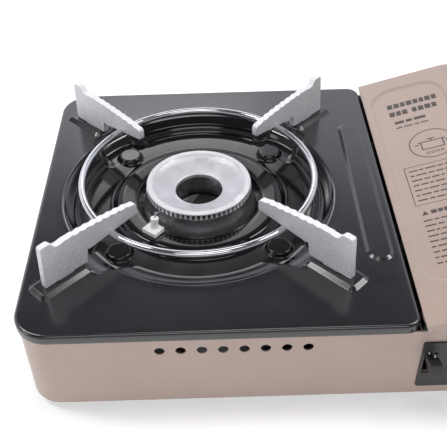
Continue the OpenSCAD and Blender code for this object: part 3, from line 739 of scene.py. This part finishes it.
def ring_strip(cs, cy, radius, width, start=0, end=360, steps=48):
    """Quads along an arc."""
    quads = []
    for i in range(steps):
        a = math.radians(start + (end - start) * i / steps)
        b = math.radians(start + (end - start) * (i + 1) / steps)
        corners = ((radius, a), (radius, b), (radius - width, b), (radius - width, a))
        quads.append([(cs + r * math.cos(t), cy + r * math.sin(t)) for r, t in corners])
    return quads


def pan_picture():
    """A ring with a lidded pan over four small flames."""
    shapes = ring_strip(42, 44.5, 17.5, 0.8, steps=72)
    shapes += [stadium(31.5, 52.5, 47.5, 1.0), stadium(33.2, 34.2, 42.8, 8.6)]
    shapes += [stadium(49.8, 50.8, 42.8, 8.6), stadium(33.4, 50.6, 38.4, 1.0)]
    shapes += [stadium(28.5, 32.0, 45.3, 1.0), stadium(52.0, 55.5, 45.3, 1.0)]
    shapes += [stadium(38.5, 45.5, 50.6, 0.9), stadium(41.4, 42.6, 49.2, 2.0)]
    for k in range(4):
        shapes += ring_strip(36.8 + 3.6 * k, 33.6, 1.4, 0.6, steps=16)
    return shapes


def build_print():
    """Plain bars in the rhythm of a title, a framed note and a warning block."""
    shapes = bar_row(18, 104, 6.2, (4.2, 4.4, 3.6, 4.6, 4.0, 3.4, 4.4, 3.8), 1.1)
    shapes += bar_row(18, 93, 6.2, (4.4, 3.8, 4.2), 1.1) + bar_row(36.5, 93, 6.2, (3.6, 4.4, 4.6, 3.8), 1.1)
    shapes += bar_row(20, 80.5, 3.4, (7.5, 5.0, 9.5), 1.4) + bar_row(20, 73.5, 1.5, (5, 7, 4, 6), 1.2)
    shapes += pan_picture()
    shapes += [stadium(15.5, 63.5, 21.5, 0.5), stadium(15.5, 63.5, -22, 0.5)]
    shapes += [stadium(15.5, 16.0, -0.25, 43.4), stadium(63.0, 63.5, -0.25, 43.4)]
    rhythm = (6.5, 3.2, 8.0, 4.4, 5.6, 2.6, 7.2, 4.0, 6.0)
    for k in range(7):
        row = [rhythm[(k + i) % 9] for i in range(7 if k % 3 else 6)]
        shapes += bar_row(18.5, 16.5 - 5.6 * k, 1.35, row, 1.15)
    shapes += bar_row(24.5, -31, 3.6, (4, 3.4, 4.4, 4), 0.9)
    shapes += [[(18.0, -33.0), (22.6, -33.0), (20.3, -28.9)]]
    for k in range(9):
        row = [rhythm[(2 * k + i) % 9] for i in range(7 if k % 4 else 5)]
        shapes += bar_row(17.5, -39 - 5.2 * k, 1.3, row, 1.15)

    def on_panel(s, y, up):
        return lid_point(s, y, PANEL_DEPTH - up)

    ink("lid_print", shapes, on_panel, "lid", "shell_paint", "print_ink")


def ink(name, shapes, place, body, slot, material):
    """Flat shapes as thin prisms that stand 0.06 mm out of a surface."""
    points, faces = [], []
    for shape in shapes:
        first, count = len(points), len(shape)
        points += [place(u, v, 0.06) for u, v in shape] + [place(u, v, -0.12) for u, v in shape]
        faces.append(tuple(range(first, first + count)))
        faces.append(tuple(range(first + 2 * count - 1, first + count - 1, -1)))
        for i in range(count):
            j = (i + 1) % count
            faces.append((first + i, first + count + i, first + count + j, first + j))
    obj = make(name, points, faces, body, slot, material=material)
    obj.data.shade_flat()
    return obj


# ---- small parts ----

KNUCKLE_LEN = 8.0
KNUCKLE_R = 2.8
PIN_R = 1.25
WEB_HALF = 1.6
KNOB_RIBS = 36
RIB_BASE, RIB_TOP = (19.9, 1.1), (17.1, 6.0)


def build_knuckles():
    """The lid's two hinge barrels, rolled round the pins at its front and back ends."""
    low, high = node_box("hinge_pins")
    x, z = (low[0] + high[0]) / 2, (low[2] + high[2]) / 2
    profile = [(PIN_R, 0), (KNUCKLE_R - 0.3, 0), (KNUCKLE_R, 0.3), (KNUCKLE_R, KNUCKLE_LEN - 0.3)]
    profile += [(KNUCKLE_R - 0.3, KNUCKLE_LEN), (PIN_R, KNUCKLE_LEN)]
    for end, y in (("front", low[1] + 4.1), ("back", high[1] - 11.6)):
        lathe("lid_knuckle_" + end, profile, (x, y, z), (0, 1, 0), "lid", "shell_paint", 40)
        s0 = (x - lid_low[0]) / math.cos(SLOPE)
        near, far = y + 0.2, y + KNUCKLE_LEN - 0.2
        loop = [(s0 - WEB_HALF, near), (s0 + WEB_HALF, near), (s0 + WEB_HALF, far), (s0 - WEB_HALF, far)]
        points = [lid_point(s, v, SHEET - 0.1) for s, v in loop] + [lid_point(s, v, 2.2) for s, v in loop]
        faces = [(0, 1, 2, 3), (7, 6, 5, 4)] + [(i, (i + 1) % 4, (i + 1) % 4 + 4, i + 4) for i in range(4)]
        make("lid_web_" + end, points, faces, "lid", "shell_paint").data.shade_flat()


def knob_ribs(x, back, z):
    """Small ribs round the knob's skirt: each is a low wedge with a ridge along it."""
    points, faces = [], []
    for k in range(KNOB_RIBS):
        a = math.radians(360 / KNOB_RIBS * k)
        c, n = math.cos(a), math.sin(a)
        ends = []
        for r, h in (RIB_BASE, RIB_TOP):
            ends.append([np.array((x + r * c - w * n, back - h, z + r * n + w * c)) for w in (-0.35, 0.35)])
        ridge = [(p + q) / 2 for p, q in ends]
        ridge = [m + (m - (x, m[1], z)) * (0.45 / np.hypot(m[0] - x, m[2] - z)) for m in ridge]
        points += [ends[0][0], ends[0][1], ends[1][1], ends[1][0], *ridge]
        f = 6 * k
        faces += [(f, f + 3, f + 5, f + 4), (f + 1, f + 4, f + 5, f + 2), (f, f + 4, f + 1)]
        faces += [(f + 3, f + 2, f + 5), (f, f + 1, f + 2, f + 3)]
    make("knob_ribs", points, faces, "knob", "black_plastic").data.shade_flat()


def dial_marks(x, z):
    """A widening arc for the flame's size, and a tick on each side."""
    fascia = node_box("control_fascia")[0][1]

    def on_fascia(u, v, up):
        return (x + u, fascia - up, z + v)

    shapes = []
    for k in range(24):
        edge = []
        for t in (50 + 80 * k / 24, 50 + 80 * (k + 1) / 24):
            wide = 0.4 + 2.2 * (t - 50) / 80
            a = math.radians(t)
            edge.append([(-r * math.sin(a), r * math.cos(a)) for r in (22.2, 22.2 + wide)])
        shapes.append([edge[0][0], edge[0][1], edge[1][1], edge[1][0]])
    shapes += [stadium(22.5, 25.5, 0, 0.7), stadium(-29.5, -26.5, 0, 0.7)]
    ink("dial_marks", shapes, on_fascia, "base", "black_plastic", "dial_ink")


def build_knob():
    """The control knob: a turned body, a grip bar with a pointer, and the marks round it."""
    low, high = node_box("control_knob")
    x, z, back = (low[0] + high[0]) / 2, (low[2] + high[2]) / 2, high[1]
    body = [
        (3.1, 0), (19.4, 0), (20.0, 0.5), (20.0, 1.3), (19.6, 1.8), (18.8, 2.0), (18.3, 2.5), (17.3, 5.4),
        (16.8, 6.2), (15.8, 6.7), (14.4, 6.9), (3.1, 7.0),
    ]
    replaced = ("control_knob",)
    lathe("knob_body", body, (x, back, z), (0, -1, 0), "knob", "black_plastic", 96, replaces=replaced)

    def place(u, v, height):
        return (x + v, back - 6.4 - height, z + u)

    def on_grip(u, v, up):
        return place(u, v, 7.32 + up)

    loops = []
    for d, height in ((0, 0), (0.1, 1.5), (0.35, 5.2), (0.75, 6.6), (1.3, 7.2), (1.9, 7.32), (2.5, 7.34)):
        loops.append((box_loop(d - 16.4, 16.4 - d, d - 3.2, 3.2 - d, 3.1 - d), height))
    raised("knob_grip", loops, "knob", place, finish="black_plastic")
    ink("knob_pointer", [stadium(7.5, 13.4, 0, 0.9)], on_grip, "knob", "black_plastic", "dial_ink")
    knob_ribs(x, back, z)
    dial_marks(x, z)


def build_cap_mark():
    """The small tab cast on the cap, just inside its rim at the back."""
    z = node_box("burner_cap")[1][2] - 2.35
    slope = math.tan(math.radians(20))

    def place(u, v, height):
        return (BURNER[0] + 2.5 + u, BURNER[1] + 30.4 + v, z + v * slope + height)

    loops = [(box_loop(d - 5.2, 5.2 - d, d - 1.3, 1.3 - d, 1.25 - d), h)
             for d, h in ((0, -0.2), (0.05, 0.45), (0.3, 0.75), (0.7, 0.8))]
    raised("cap_mark", loops, "base", place, finish="cap_alloy")


# ---- camera, light and floor ----

CAMERA_OFFSET = Vector((16.184, -450.513, 360.799)) * MM
CAMERA_YAW = math.radians(-0.166)
CAMERA_RISE = math.radians(41.347)
CAMERA_ROLL = math.radians(-1.611)
CAMERA_LENS = 62.396


def build_camera():
    data = bpy.data.cameras.new("camera")
    cam = bpy.data.objects.new("camera", data)
    bpy.context.scene.collection.objects.link(cam)
    data.lens, data.sensor_width = CAMERA_LENS, 36
    data.clip_start, data.clip_end = 0.01, 20
    back = Vector((
        math.sin(CAMERA_YAW) * math.cos(CAMERA_RISE),
        -math.cos(CAMERA_YAW) * math.cos(CAMERA_RISE),
        math.sin(CAMERA_RISE),
    ))
    right = Vector((0, 0, 1)).cross(back).normalized()
    up = back.cross(right)
    c, s = math.cos(CAMERA_ROLL), math.sin(CAMERA_ROLL)
    right, up = c * right + s * up, c * up - s * right
    burner = Vector((BURNER[0], BURNER[1], HOB_Z)) * MM
    turn = Matrix((right, up, back)).transposed().to_4x4()
    cam.matrix_world = Matrix.Translation(burner + CAMERA_OFFSET) @ turn
    bpy.context.scene.camera = cam


def area_light(name, place, aim, size, power, color=(1, 1, 1)):
    data = bpy.data.lights.new(name, "AREA")
    data.shape = "RECTANGLE"
    data.size, data.size_y = size
    data.energy = power
    data.color = color
    obj = bpy.data.objects.new(name, data)
    bpy.context.scene.collection.objects.link(obj)
    obj.location = place
    obj.rotation_mode = "QUATERNION"
    obj.rotation_quaternion = (Vector(aim) - Vector(place)).to_track_quat("-Z", "Y")
    return obj


# height in the world as a share of the way up, with an offset to the side, and the brightness there
SKY = [
    (0.0, 1.0), (0.40, 1.1), (0.54, 1.45), (0.57, 1.25), (0.60, 0.70), (0.64, 0.38), (0.67, 0.20),
    (0.97, 0.15),
]
SKY_LEAN = -0.1
SKY_TINT = (0.965, 0.975, 1.06)
SOFT_BOX = (0.32, 0.75)
FLOOR_HALF = 6.0


def build_world():
    """A white cyclorama low down and a dark ceiling over it: the hob mirrors where these meet."""
    world = bpy.data.worlds.new("studio")
    bpy.context.scene.world = world
    world.use_nodes = True
    tree = world.node_tree
    shade = tree.nodes["Background"]

    def math_node(operation, *values):
        made = tree.nodes.new("ShaderNodeMath")
        made.operation = operation
        for socket, value in zip(made.inputs, values):
            if isinstance(value, float):
                socket.default_value = value
            else:
                tree.links.new(value, socket)
        return made.outputs[0]

    def ranged(value, numbers):
        made = tree.nodes.new("ShaderNodeMapRange")
        tree.links.new(value, made.inputs["Value"])
        for name, number in zip(RANGE_SOCKETS, numbers):
            made.inputs[name].default_value = number
        return made.outputs[0]

    coord = tree.nodes.new("ShaderNodeTexCoord")
    split = tree.nodes.new("ShaderNodeSeparateXYZ")
    tree.links.new(coord.outputs["Generated"], split.inputs["Vector"])
    x, y, z = split.outputs
    ramp = tree.nodes.new("ShaderNodeValToRGB")
    tree.links.new(math_node("MULTIPLY_ADD", x, SKY_LEAN, z), ramp.inputs["Fac"])
    while len(ramp.color_ramp.elements) < len(SKY):
        ramp.color_ramp.elements.new(0.5)
    for stop, (place, level) in zip(ramp.color_ramp.elements, SKY):
        stop.position = place
        stop.color = (*(level * tint for tint in SKY_TINT), 1)
    side, front = ranged(x, (0.0, 0.14, 1.0, 0.85)), ranged(y, (-0.2, 0.6, 0.35, 1.0))
    tree.links.new(ramp.outputs["Color"], shade.inputs["Color"])
    tree.links.new(math_node("MULTIPLY", side, front), shade.inputs["Strength"])


def build_lights():
    area_light("top", (0.05, -0.1, 1.5), (0, 0, 0), (0.7, 0.5), 3.0)
    area_light("left", (-0.87, 0.12, 1.18), (0, 0, 0.07), SOFT_BOX, 6.5)
    area_light("right", (0.87, 0.12, 1.18), (0, 0, 0.07), SOFT_BOX, 6.5)
    area_light("left_low", (-1.3, -0.5, 0.4), (0, 0, 0.07), (0.3, 0.6), 1.5)
    area_light("front", (0.0, -1.25, 1.25), (0, 0, 0.05), (1.2, 0.5), 4.5)
    area_light("back", (-0.20, 1.85, 1.42), (-0.06, 0.05, 0.07), (0.58, 0.24), 1.4)


def build_floor():
    h = FLOOR_HALF
    mesh = bpy.data.meshes.new("floor")
    mesh.from_pydata([(-h, -h, 0), (h, -h, 0), (h, h, 0), (-h, h, 0)], [], [(0, 1, 2, 3)])
    floor = bpy.data.objects.new("floor", mesh)
    bpy.context.scene.collection.objects.link(floor)
    s = Shader("floor", (0.92, 0.92, 0.92), 0.7)
    s.set("Emission Color", (1, 1, 1, 1)).set("Emission Strength", 0.3)
    s.vary_roughness(8, 0.65, 0.75)
    mesh.materials.append(s.mat)


dress_cad()
build_hob()
build_pressings()
build_lid()
build_ring()
build_fins()
build_print()
build_knuckles()
build_knob()
build_cap_mark()
build_camera()
build_world()
build_lights()
build_floor()
bpy.context.scene.view_settings.view_transform = "Standard"
